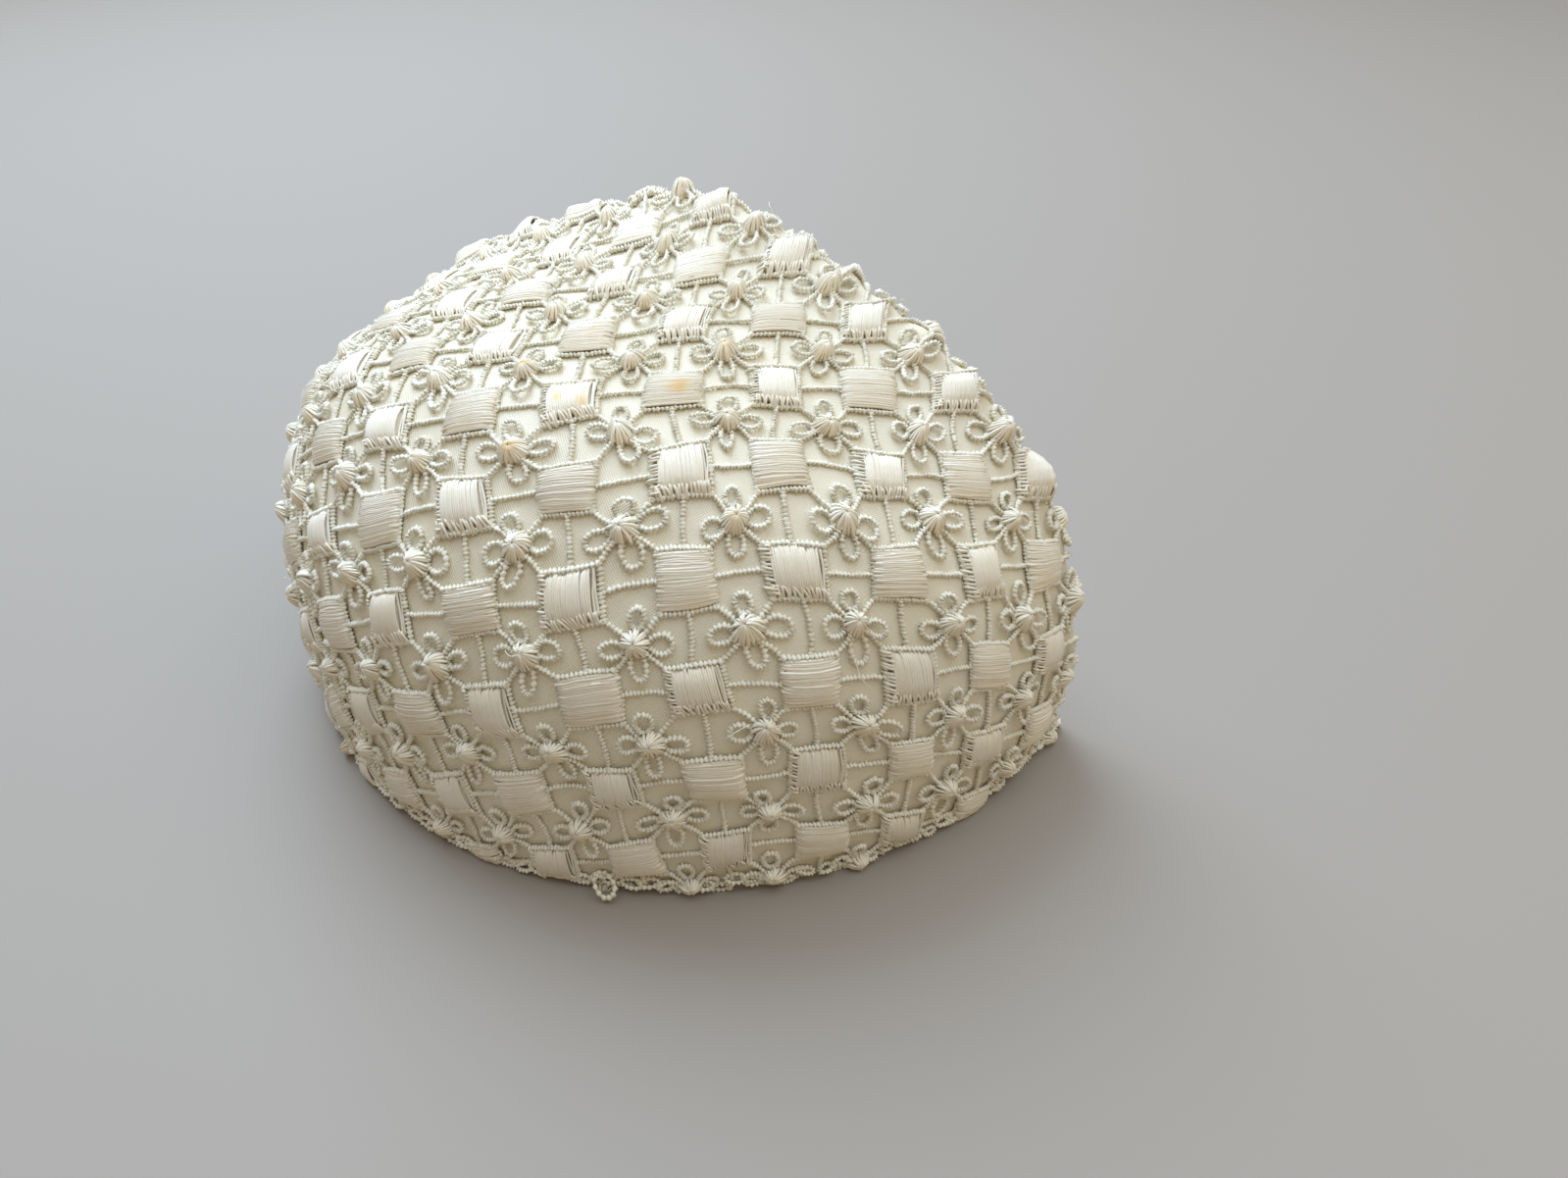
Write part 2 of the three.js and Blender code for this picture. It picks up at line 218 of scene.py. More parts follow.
def layNet():
    pitch, lift = laceNet["pitch"], laceNet["knotLift"]
    start = onForm(np.array(laceNet["firstKnot"]), lift)
    out = unit(start)
    turn = math.radians(laceNet["rowTurn"])
    along = np.array((math.cos(turn), math.sin(turn), 0.0))
    along = unit(along - out * along.dot(out))
    down = np.cross(along, out)
    keys, points = [], []
    for column in range(laceNet["columns"][0], laceNet["columns"][1] + 1):
        for row in range(laceNet["rows"][0], laceNet["rows"][1] + 1):
            side = along * column + down * row
            far = np.linalg.norm(side)
            arc = far * pitch / laceNet["radius"]
            if arc > math.radians(laceNet["farthest"]):
                continue
            knot = out * math.cos(arc) + (side / far * math.sin(arc) if far else 0)
            point = onForm(knot, lift)
            room = min(point[2] + bonnetForm["centre"][2], faceLine(point[0]) - point[1])
            if room > -laceNet["margin"]:
                keys.append((column, row))
                points.append(point.tolist())
    index = {key: k for k, key in enumerate(keys)}
    links = []
    for column, row in keys:
        for step in ((1, 0), (0, 1), (1, 1), (1, -1)):
            other = index.get((column + step[0], row + step[1]))
            if other is not None:
                stiff = laceNet["threadStiffness" if 0 in step else "skewStiffness"]
                links.append((points[index[column, row]], points[other], pitch * math.hypot(*step), stiff))
    first, beside = points[index[0, 0]], points[index[1, 0]]
    for _ in range(laceNet["rounds"]):
        for a, b, rest, stiff in links:
            x, y, z = b[0] - a[0], b[1] - a[1], b[2] - a[2]
            pull = 0.5 * stiff * (1 - rest / math.sqrt(x * x + y * y + z * z))
            a[0] += x * pull
            a[1] += y * pull
            a[2] += z * pull
            b[0] -= x * pull
            b[1] -= y * pull
            b[2] -= z * pull
        for point, put in zip(points, onForm(np.array(points), lift).tolist()):
            point[:] = put
        beside[:] = onForm(start + along * math.dist(beside, start), lift).tolist()
        first[:] = start.tolist()
    return {key: np.array(points[k]) for key, k in index.items()}


def fillNet(net):
    # knots on a full grid, carried on straight where the net ends
    firstColumn, lastColumn = laceNet["columns"]
    firstRow, lastRow = laceNet["rows"]
    grid = np.full((lastColumn - firstColumn + 1, lastRow - firstRow + 1, 3), np.nan)
    for (column, row), point in net.items():
        grid[column - firstColumn, row - firstRow] = point
    while np.isnan(grid).any():
        new = grid.copy()
        for c, r in np.argwhere(np.isnan(grid[..., 0])):
            found = []
            for i, j in ((1, 0), (-1, 0), (0, 1), (0, -1)):
                if 0 <= c + 2 * i < grid.shape[0] and 0 <= r + 2 * j < grid.shape[1]:
                    found.append(2 * grid[c + i, r + j] - grid[c + 2 * i, r + 2 * j])
            found = [p for p in found if not np.isnan(p).any()]
            if found:
                new[c, r] = np.mean(found, axis=0)
        if np.isnan(new).sum() == np.isnan(grid).sum():
            break
        grid = new
    return grid


netGrid = fillNet(layNet())
print("lace net laid over", netGrid.shape[:2], "knots")


def curveWeights(t):
    return (
        0.5 * (-t + 2 * t * t - t**3),
        0.5 * (2 - 5 * t * t + 3 * t**3),
        0.5 * (t + 4 * t * t - 3 * t**3),
        0.5 * (-t * t + t**3),
    )


def laceDirection(u, v):
    # from the form's centre to a place in the net, in repeats
    u = u - laceNet["columns"][0]
    v = v - laceNet["rows"][0]
    c, r = np.floor(u).astype(int), np.floor(v).astype(int)
    total = 0
    for i, a in enumerate(curveWeights(u - c)):
        for j, b in enumerate(curveWeights(v - r)):
            column = np.clip(c + i - 1, 0, netGrid.shape[0] - 1)
            row = np.clip(r + j - 1, 0, netGrid.shape[1] - 1)
            total = total + netGrid[column, row] * (a * b)[..., None]
    return total


def standing(points):
    # from the form's centre to the ground below, in metres, flattened where it stands
    points = points + formCentre
    points[..., 2] = np.maximum(points[..., 2], bonnetForm["groundGap"])
    return points * mm


# sewn lace is pulled a little out of true: waves along and across the rows, in repeats
lacePull = {
    "far": 0.022,
    "side": (
        {"along": 3.9, "down": 2.2, "start": 0.7, "share": 1.0},
        {"along": -2.6, "down": 5.3, "start": 2.0, "share": 0.7},
    ),
    "down": (
        {"along": -1.9, "down": 4.4, "start": 1.1, "share": 1.0},
        {"along": 5.0, "down": 2.8, "start": 4.2, "share": 0.7},
    ),
}


def pullAt(u, v, waves):
    heights = [w["share"] * np.sin(w["along"] * u + w["down"] * v + w["start"]) for w in waves]
    return lacePull["far"] * sum(heights)


def layFlat(flat):
    # flat lace, in millimetres (+Y against the rows), laid on the bonnet
    u, v = flat[..., 0] / laceNet["pitch"], -flat[..., 1] / laceNet["pitch"]
    direction = laceDirection(u + pullAt(u, v, lacePull["side"]), v + pullAt(u, v, lacePull["down"]))
    return standing(layOn(direction, flat[..., 2]))


def flatPlaces(places):
    # places in repeats as points of the flat lace
    return np.stack([places[:, 0], -places[:, 1], np.zeros(len(places))], axis=1) * laceNet["pitch"]


def motifPlaces(offset):
    # places of one motif of the repeat, in repeats, that lie on the bonnet or just past its edges
    places = []
    for column in range(laceNet["columns"][0] + 1, laceNet["columns"][1] - 1):
        for row in range(laceNet["rows"][0] + 1, laceNet["rows"][1] - 1):
            places.append((column + offset[0], row + offset[1]))
    places = np.array(places, float)
    u, v = places.T
    under, ahead = pastEdges(onForm(laceDirection(u, v)))
    fits = (under < laceNet["turnIn"][0]) & (ahead < laceNet["turnIn"][1])
    fits &= np.minimum(under, ahead) < laceNet["corner"]
    reach = laceNet["squeezeReach"]
    sideways = onForm(laceDirection(u + reach, v)) - onForm(laceDirection(u - reach, v))
    downward = onForm(laceDirection(u, v + reach)) - onForm(laceDirection(u, v - reach))
    area = np.linalg.norm(np.cross(sideways, downward), axis=-1) / (2 * reach * laceNet["pitch"]) ** 2
    fits &= area > laceNet["squeeze"]
    return places[fits]


blockPlaces = motifPlaces((0.0, 0.0))
flowerPlaces = motifPlaces((0.5, 0.5))
acrossPlaces = motifPlaces((0.5, 0.0))
uprightPlaces = motifPlaces((0.0, 0.5))
print("lace motifs:", len(blockPlaces), "blocks,", len(flowerPlaces), "flowers")


# finishes
def startMaterial(name, finish):
    material = bpy.data.materials.new(name)
    material.use_nodes = True
    shader = material.node_tree.nodes["Principled BSDF"]
    shader.inputs["Roughness"].default_value = finish["roughness"]
    shader.inputs["Specular IOR Level"].default_value = finish["shine"]
    shader.inputs["Sheen Weight"].default_value = finish["sheen"]
    shader.inputs["Sheen Roughness"].default_value = 0.4
    return material, shader


def addNode(tree, kind, **values):
    node = tree.nodes.new(kind)
    for key, value in values.items():
        if key in node.inputs:
            node.inputs[key].default_value = value
        else:
            setattr(node, key, value)
    return node


def addNoise(tree, scale, detail):
    place = addNode(tree, "ShaderNodeTexCoord")
    noise = addNode(tree, "ShaderNodeTexNoise", Scale=scale, Detail=detail)
    tree.links.new(place.outputs["Object"], noise.inputs["Vector"])
    return noise.outputs["Fac"]


def addFade(tree, value, low, high):
    fade = addNode(tree, "ShaderNodeMapRange")
    fade.inputs["From Min"].default_value = low
    fade.inputs["From Max"].default_value = high
    tree.links.new(value, fade.inputs["Value"])
    return fade.outputs["Result"]


def addColour(tree, share, under, over):
    # one colour over another, which is a colour or comes from a node
    mix = addNode(tree, "ShaderNodeMix", data_type="RGBA")
    tree.links.new(share, mix.inputs["Factor"])
    if isinstance(under, tuple):
        mix.inputs["A"].default_value = under
    else:
        tree.links.new(under, mix.inputs["A"])
    mix.inputs["B"].default_value = over
    return mix.outputs["Result"]


def addClouds(tree, finish, cloud):
    # the finish's two tones in soft clouds
    noise = addNoise(tree, cloud["scale"], cloud["detail"])
    share = addFade(tree, noise, cloud["low"], cloud["high"])
    return addColour(tree, share, finish["deep"], finish["pale"])


def addMath(tree, operation, first, second=None):
    node = addNode(tree, "ShaderNodeMath", operation=operation)
    tree.links.new(first, node.inputs[0])
    if isinstance(second, float):
        node.inputs[1].default_value = second
    elif second is not None:
        tree.links.new(second, node.inputs[1])
    return node.outputs[0]


def addWave(tree, axis, length, shape):
    # a wave along one axis of the piece's own mapping
    cloth = addNode(tree, "ShaderNodeUVMap", uv_map="cloth")
    split = addNode(tree, "ShaderNodeSeparateXYZ")
    tree.links.new(cloth.outputs["UV"], split.inputs["Vector"])
    turns = addMath(tree, "MULTIPLY", split.outputs[axis], 2 * math.pi / length)
    return addMath(tree, shape, turns)


def addBump(tree, shader, height, bump):
    node = addNode(tree, "ShaderNodeBump", Strength=bump["strength"], Distance=bump["depth"] * mm)
    tree.links.new(height, node.inputs["Height"])
    tree.links.new(node.outputs["Normal"], shader.inputs["Normal"])


satinFinish = {
    "pale": (0.955, 0.905, 0.745, 1),
    "deep": (0.925, 0.86, 0.675, 1),
    "cloud": {"scale": 60.0, "detail": 3.0, "low": 0.35, "high": 0.65},
    "rib": 0.55,  # millimetres from rib to rib
    "grooveShade": (0.74, 0.64, 0.43, 1),
    "grooveShadeFade": (0.1, -1.6),  # heights of the weave where the groove's painted shade begins and would be full
    "bump": {"strength": 0.5, "depth": 0.1},
    "roughness": 0.45,
    "shine": 0.4,
    "sheen": 0.0,
}


def satinMaterial():
    material, shader = startMaterial("ivorySatin", satinFinish)
    tree = material.node_tree
    ribs = [addWave(tree, axis, satinFinish["rib"], "SINE") for axis in ("X", "Y")]
    weave = addMath(tree, "MULTIPLY", *ribs)
    colour = addClouds(tree, satinFinish, satinFinish["cloud"])
    # painted shade: the groove colour darkens the hollows of the weave
    low = addFade(tree, weave, *satinFinish["grooveShadeFade"])
    colour = addColour(tree, low, colour, satinFinish["grooveShade"])
    tree.links.new(colour, shader.inputs["Base Color"])
    addBump(tree, shader, weave, satinFinish["bump"])
    return material


threadFinish = {
    "cord": {
        "pale": (0.99, 0.965, 0.835, 1),
        "deep": (0.975, 0.93, 0.755, 1),
        "roughness": 0.75,
        "shine": 0.12,
        "sheen": 0.45,
    },
    "floss": {
        "pale": (0.95, 0.9, 0.76, 1),
        "deep": (0.91, 0.84, 0.67, 1),
        "roughness": 0.45,
        "shine": 0.42,
        "sheen": 0.2,
    },
    "bundle": {
        "pale": (0.975, 0.935, 0.80, 1),
        "deep": (0.94, 0.875, 0.69, 1),
        "roughness": 0.55,
        "shine": 0.25,
        "sheen": 0.35,
    },
    "cloud": {"scale": 220.0, "detail": 4.0, "low": 0.3, "high": 0.62},
    "fibre": {"scale": 2600.0, "detail": 2.0},
    # colour of the real stains, and of the painted shade on the lower halves of the knots and blocks
    "stainAndShade": (0.94, 0.66, 0.26, 1),
    # painted shade between the wraps of a cord, and the heights of the wave where it begins and would be
    # full
    "grooveShade": (0.77, 0.665, 0.43, 1),
    "grooveShadeFade": (0.1, 1.35),
    "bump": {"strength": 0.5, "depth": 0.08},
}


def threadMaterial(kind, wrapped):
    material, shader = startMaterial("lace" + kind.capitalize(), threadFinish[kind])
    tree = material.node_tree
    colour = addClouds(tree, threadFinish[kind], threadFinish["cloud"])
    # real stains, and painted shade on the lower halves of the knots and blocks
    stainAndShade = addNode(tree, "ShaderNodeAttribute", attribute_name="stainAndShade")
    colour = addColour(tree, stainAndShade.outputs["Fac"], colour, threadFinish["stainAndShade"])
    height = addNoise(tree, **threadFinish["fibre"])
    if wrapped:
        # one wave of the mapping is one wrap of thread; the groove colour is painted shade between the wraps
        wave = addWave(tree, "X", 1.0, "COSINE")
        depth = addFade(tree, wave, *threadFinish["grooveShadeFade"])
        colour = addColour(tree, depth, colour, threadFinish["grooveShade"])
        height = addMath(tree, "SUBTRACT", height, wave)
    tree.links.new(colour, shader.inputs["Base Color"])
    addBump(tree, shader, height, threadFinish["bump"])
    return material


satinCloth = satinMaterial()
cordThread = threadMaterial("cord", True)
flossThread = threadMaterial("floss", False)
bundleThread = threadMaterial("bundle", False)
print("finishes made")


# stains: place in repeats, size in millimetres
stains = (
    {"place": (0.05, -1.02), "size": 2.0, "strength": 0.85},
    {"place": (-1.11, -1.06), "size": 0.95, "strength": 0.9},
    {"place": (-0.88, -0.96), "size": 0.95, "strength": 0.9},
    {"place": (-0.98, -2.0), "size": 1.4, "strength": 0.3},
    {"place": (-1.5, -1.55), "size": 1.2, "strength": 0.75},
    {"place": (-1.5, -0.55), "size": 1.2, "strength": 0.75},
    {"place": (0.5, 0.45), "size": 1.2, "strength": 0.35},
    {"place": (0.5, -1.55), "size": 1.2, "strength": 0.45},
)

# painted shade, with some yellowing of the thread, in the lower half of the knots and blocks
shadeAndYellowing = {
    "knot": {"strength": 0.3, "half": 1.7, "square": 2, "below": 1.3, "spread": 1.5},
    "block": {"strength": 0.12, "half": 4.8, "square": 6, "below": 3.6, "spread": 1.7},
}


# painted shade with some yellowing, round the lower half of a knot or block
def shadeAndYellowingAround(row, side, below):
    away = (side / row["half"]) ** row["square"] + ((below - row["below"]) / row["spread"]) ** 2
    return row["strength"] * np.exp(-away)


def stainAndShadeAt(flat):
    # real stains, and painted shade with some yellowing on the lower halves of the knots and blocks
    pitch = laceNet["pitch"]
    side, below = flat[:, 0] / pitch, -flat[:, 1] / pitch
    knot = shadeAndYellowingAround(shadeAndYellowing["knot"], (side % 1 - 0.5) * pitch, (below % 1 - 0.5) * pitch)
    block = shadeAndYellowingAround(shadeAndYellowing["block"], (side - np.round(side)) * pitch, (below - np.round(below)) * pitch)
    mark = np.maximum(knot, block)
    for row in stains:
        u, v = row["place"]
        away = np.hypot(flat[:, 0] - u * pitch, flat[:, 1] + v * pitch)
        mark = np.maximum(mark, row["strength"] * np.exp(-((away / row["size"]) ** 4)))
    return mark


def choose(*pieces):
    # select these alone, with the last one active
    bpy.ops.object.select_all(action="DESELECT")
    for piece in pieces:
        piece.select_set(True)
        bpy.context.view_layer.objects.active = piece


def mapCloth(mesh, cloth):
    # the mesh's one mapping, from a place in the cloth for each vertex
    while mesh.uv_layers:
        mesh.uv_layers.remove(mesh.uv_layers[0])
    corners = np.zeros(len(mesh.loops), int)
    mesh.loops.foreach_get("vertex_index", corners)
    layer = mesh.uv_layers.new(name="cloth")
    layer.data.foreach_set("uv", cloth[corners].ravel().astype(np.float32))


def makeLace(name, shape, material, lay=layFlat):
    # a piece of the lace, laid on the bonnet from its flat shape
    flat, faces, cloth = shape
    mesh = bpy.data.meshes.new(name)
    mesh.from_pydata(lay(flat).tolist(), [], faces)
    mapCloth(mesh, cloth)
    # real stains and painted shade, laid out on the flat lace
    mark = mesh.attributes.new("stainAndShade", "FLOAT", "POINT")
    if lay is layFlat:
        mark.data.foreach_set("value", stainAndShadeAt(flat).astype(np.float32))
    mesh.materials.append(material)
    piece = bpy.data.objects.new(name, mesh)
    bpy.context.collection.objects.link(piece)
    choose(piece)
    bpy.ops.object.shade_smooth()
    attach(piece, "root")
    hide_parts("lace_cover")
    print(name, "has", sum(len(f) - 2 for f in faces), "triangles")
    return piece


# threads and cords; a wrapped cord is thick and thin by turns
cordShape = {"sides": 4, "shift": 0.06, "uneven": 0.1}


def ropes(paths, radius, closed=False, lump=0.0):
    # cords along flat paths: an array of cords, stations and places
    count, stations = paths.shape[:2]
    sides = cordShape["sides"]
    radius = np.broadcast_to(np.asarray(radius, float), (count, stations))
    if closed:
        ahead = unit(np.roll(paths, -1, axis=1) - np.roll(paths, 1, axis=1))
    else:
        ahead = unit(np.gradient(paths, axis=1))
    side = unit(np.cross(ahead, (0, 0, 1.0)))
    top = np.cross(side, ahead)
    along = np.linalg.norm(np.diff(paths, axis=1, prepend=paths[:, :1]), axis=-1).cumsum(axis=1)
    if lump:
        paths = paths + chance.normal(0, cordShape["shift"], paths.shape)
        along = np.broadcast_to(np.arange(stations) / 2, (count, stations))
        byTurns = np.where(np.arange(stations) % 2, 1 + lump, 1 - lump)
        radius = radius * (byTurns + chance.normal(0, cordShape["uneven"], (count, stations)))
    angle = 2 * math.pi * np.arange(sides) / sides
    outward = np.cos(angle)[:, None] * side[:, :, None] + np.sin(angle)[:, None] * top[:, :, None]
    flat = (paths[:, :, None] + radius[..., None, None] * outward).reshape(-1, 3)
    cloth = np.stack([np.repeat(along.ravel(), sides), np.tile(angle, count * stations)], axis=1)
    first = np.arange(count)[:, None, None] * stations * sides
    station = np.arange(stations if closed else stations - 1)[:, None]
    here = first + station * sides
    there = first + (station + 1) % stations * sides
    k = np.arange(sides)
    after = (k + 1) % sides
    quads = np.stack([here + k, there + k, there + after, here + after], axis=-1)
    faces = quads.reshape(-1, 4).tolist()
    if not closed:
        ends = first[:, 0]
        faces += (ends + k).tolist()
        faces += (ends + (stations - 1) * sides + k[::-1]).tolist()
    return flat, faces, cloth


def joined(*parts):
    flat, faces, cloth, start = [], [], [], 0
    for points, polygons, places in parts:
        flat.append(points)
        cloth.append(places)
        faces += [[k + start for k in f] for f in polygons]
        start += len(points)
    return np.concatenate(flat), faces, np.concatenate(cloth)


def takeMotif(piece):
    # a modelled motif's points and faces, from which its copies are made
    flat = np.array([v.co[:] for v in piece.data.vertices])
    faces = [list(p.vertices) for p in piece.data.polygons]
    bpy.data.objects.remove(piece, do_unlink=True)
    return flat, faces


def copies(motif, places):
    flat, faces = motif
    points = (flat[None] + flatPlaces(places)[:, None]).reshape(-1, 3)
    polygons = [[k + n * len(flat) for k in f] for n in range(len(places)) for f in faces]
    return points, polygons, points[:, :2].copy()


# satin cap
satinCap = {
    "columns": 150,
    "rows": 70,
    "wall": 2.0,
    "merge": 0.02,
    "smoothUnder": 50,  # degrees
    "cornerRounds": 20,
    "cornerAngle": 1e-4,  # under which the rim and the face edge have met
    "across": 88.0,  # radius by which an angle over the head is laid out as cloth
    "along": 80.0,
    "hemSteps": 260,
    "hemRound": 3,
    "flatWidth": 0.30,
    "flatLength": 0.15,
    "flatArea": 0.03,
}


def cheekAngles():
    # the cheek corner is where the rim meets the face edge: its angles in plan and round the face
    corner = np.array((1.0, 0.0, bonnetForm["rimSlope"]))
    for _ in range(satinCap["cornerRounds"]):
        corner = onForm(corner)
        corner[1] = faceLine(corner[0]) - bonnetForm["faceInset"]
        corner[2] = rimLevel
    return math.atan2(-corner[1], corner[0]), math.atan2(corner[2], corner[0])


planStart, archStart = cheekAngles()


def rimAt(angle):
    slope = np.full_like(angle, bonnetForm["rimSlope"])
    return rimEdge(onForm(np.stack([np.cos(angle), -np.sin(angle), slope], axis=-1)))


def faceAt(angle):
    return faceEdge(onForm(np.stack([np.cos(angle), np.zeros_like(angle), np.sin(angle)], axis=-1)))


def satinPlaces(points):
    d = unit(points)
    over = np.arcsin(np.clip(d[:, 0], -1, 1)) * satinCap["across"]
    upward = np.arctan2(d[:, 2], -d[:, 1]) * satinCap["along"]
    return np.stack([over, upward], axis=1)


def makeSatinCap():
    # a grid spread over the form from the rim to the face edge, then given its wall
    choose()
    bpy.ops.mesh.primitive_grid_add(
        x_subdivisions=satinCap["columns"], y_subdivisions=satinCap["rows"], size=2
    )
    piece = bpy.context.object
    piece.name = piece.data.name = "satin_shell"
    mesh = piece.data
    grid = np.array([v.co[:] for v in mesh.vertices])
    column = (grid[:, 0] + 1) / 2
    share = (grid[:, 1:2] + 1) / 2
    rim = unit(rimAt(planStart + (math.pi - 2 * planStart) * column))
    face = unit(faceAt(archStart + (math.pi - 2 * archStart) * column))
    angle = np.arccos(np.clip((rim * face).sum(-1), -1, 1))[:, None]
    met = angle < satinCap["cornerAngle"]
    angle = np.where(met, 1.0, angle)
    between = rim * np.sin((1 - share) * angle) + face * np.sin(share * angle)
    points = onForm(np.where(met, rim, between))
    mesh.vertices.foreach_set("co", ((points + formCentre) * mm).ravel())
    mapCloth(mesh, satinPlaces(points))
    bpy.ops.object.mode_set(mode="EDIT")
    bpy.ops.mesh.select_all(action="SELECT")
    bpy.ops.mesh.remove_doubles(threshold=satinCap["merge"] * mm)
    bpy.ops.mesh.normals_make_consistent(inside=False)
    bpy.ops.object.mode_set(mode="OBJECT")
    bpy.ops.object.modifier_add(type="SOLIDIFY")
    wall = piece.modifiers[-1]
    wall.thickness = satinCap["wall"] * mm
    wall.offset = -1
    bpy.ops.object.modifier_apply(modifier=wall.name)
    mesh.materials.append(satinCloth)
    bpy.ops.object.shade_smooth_by_angle(angle=math.radians(satinCap["smoothUnder"]))
    return piece


def makeHem():
    # one roll along the neck rim and back over the face edge
    t = np.linspace(0, 1, satinCap["hemSteps"], endpoint=False)
    rim = rimAt(planStart + (math.pi - 2 * planStart) * t)
    face = faceAt(math.pi - archStart - (math.pi - 2 * archStart) * t)
    rimHem, faceHem = bonnetForm["rimHem"], bonnetForm["faceHem"]
    line = np.concatenate([rim - unit(rim * (1, 1, 0)) * rimHem, face - unit(face * (1, 0, 1)) * faceHem])
    line = (line + formCentre) * mm
    curve = bpy.data.curves.new("hem", "CURVE")
    curve.dimensions = "3D"
    spline = curve.splines.new("POLY")
    spline.points.add(len(line) - 1)
    spline.points.foreach_set("co", np.concatenate([line, np.ones((len(line), 1))], axis=1).ravel())
    spline.points.foreach_set("radius", np.concatenate([np.full(len(rim), rimHem), faceHem + puffAt(face)]))
    spline.use_cyclic_u = True
    curve.bevel_depth = mm  # so a point's radius is in millimetres
    curve.bevel_resolution = satinCap["hemRound"]
    hemRoll = bpy.data.objects.new("hem", curve)
    bpy.context.collection.objects.link(hemRoll)
    choose(hemRoll)
    bpy.ops.object.convert(target="MESH")
    hemRoll = bpy.context.object
    mesh = hemRoll.data
    points = np.array([v.co[:] for v in mesh.vertices]) / mm - formCentre
    mapCloth(mesh, satinPlaces(points))
    mesh.materials.clear()
    mesh.materials.append(satinCloth)
    bpy.ops.object.shade_smooth()
    return hemRoll


satinPiece = makeSatinCap()
hemPiece = makeHem()
choose(hemPiece, satinPiece)
bpy.ops.object.join()
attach(satinPiece, "root")
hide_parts("satin_cap")
print("satin cap made")


# stitched blocks, floss over pads: upright and level threads change like a chequer board
laceBlock = {
    "upright": {
        "threads": 20,
        "radius": 0.25,
        "left": -3.45,
        "right": 3.05,
        "along": (-3.4, -2.6, -1.2, 0.4, 2.0, 3.2, 3.7, 4.0),  # stations of a thread, and its rise there
        "rise": (0.5, 0.8, 0.97, 1, 0.96, 0.8, 0.66, 0.45),
        "high": 1.75,
        "crown": 0.35,
        "wander": 0.03,
        "pads": (
            {"ends": (-3.4, 3.8), "wider": 0.1, "top": 1.0},
            {"ends": (-2.5, 2.9), "wider": -0.1, "top": 1.5},
        ),
    },
    "slack": {  # threads that stand off at the right of an upright block, else like its own
        "threads": 2,
        "radius": 0.24,
        "left": 3.5,
        "right": 3.95,
        "rise": 0.8,
        "high": 1.3,
        "crown": 0.0,
        "wander": 0.12,
    },
    "level": {
        "threads": 25,
        "radius": 0.33,
        "left": -3.75,  # here the foot and the head
        "right": 3.95,
        "along": (-4.6, -4.3, -3.5, -1.3, 1.3, 3.5, 4.3, 4.6),
        "rise": (0.45, 0.7, 0.9, 1, 1, 0.9, 0.7, 0.45),
        "high": 1.25,
        "crown": 0.85,
        "wander": 0.08,
        "pads": (
            {"ends": (-4.0, 4.0), "wider": 0.1, "top": 1.0},
            {"ends": (-3.6, 3.6), "wider": -1.3, "top": 1.65},
        ),
    },
    "padFoot": 0.1,
    "padBevel": 0.5,
    "uneven": {"pace": (0.3, 1.2), "shift": 0.03, "slant": 0.2, "stretch": 0.04, "height": 0.6},
}
chequer = np.round(blockPlaces.sum(axis=1)).astype(int) % 2
uprightBlocks, levelBlocks = blockPlaces[chequer == 0], blockPlaces[chequer == 1]


def blockThreads(places, row, upright):
    across = np.linspace(row["left"], row["right"], row["threads"])
    along, rise = np.array(row["along"]), np.array(row["rise"])
    each = (len(places), len(across), 1)
    uneven = laceBlock["uneven"]
    wave = np.sin(along * chance.uniform(*uneven["pace"], each) + chance.uniform(*anyStart, each))
    sideways = across[None, :, None] + chance.normal(0, uneven["shift"], each) + row["wander"] * wave
    sideways = sideways + uneven["slant"] * row["wander"] * chance.normal(0, 1, each) * along
    run = along * (1 + chance.normal(0, uneven["stretch"], each))
    span = 2 * (across - across.min()) / np.ptp(across) - 1
    crown = row["crown"] * (1 - span**2)[None, :, None]
    height = (row["high"] + crown) * rise + chance.normal(0, uneven["height"], each) * row["wander"]
    order = (sideways, run, height) if upright else (run, sideways, height)
    paths = np.stack(np.broadcast_arrays(*order), axis=-1) + flatPlaces(places)[:, None, None]
    return ropes(paths.reshape(-1, len(along), 3), row["radius"])


def padMotif(low, high):
    choose()
    bpy.ops.mesh.primitive_cube_add(size=1)
    pad = bpy.context.object
    pad.scale = np.subtract(high, low)
    pad.location = 0.5 * np.add(high, low)
    bpy.ops.object.transform_apply(location=True, rotation=False, scale=True)
    bpy.ops.object.mode_set(mode="EDIT")
    bpy.ops.mesh.select_all(action="SELECT")
    bpy.ops.mesh.bevel(offset=laceBlock["padBevel"], segments=2, affect="EDGES")
    bpy.ops.object.mode_set(mode="OBJECT")
    return takeMotif(pad)


def blockPads(places, row, upright):
    made = []
    for pad in row["pads"]:
        sides = (row["left"] - pad["wider"], row["right"] + pad["wider"])
        x, y = (sides, pad["ends"]) if upright else (pad["ends"], sides)
        low, high = zip(x, y, (laceBlock["padFoot"], pad["top"]))
        made.append(copies(padMotif(low, high), places))
    return made


def makeBlocks():
    slack = {**laceBlock["upright"], **laceBlock["slack"]}
    shape = joined(
        blockThreads(uprightBlocks, laceBlock["upright"], True),
        blockThreads(uprightBlocks, slack, True),
        blockThreads(levelBlocks, laceBlock["level"], False),
        *blockPads(uprightBlocks, laceBlock["upright"], True),
        *blockPads(levelBlocks, laceBlock["level"], False),
    )
    return makeLace("lace_blocks", shape, flossThread)


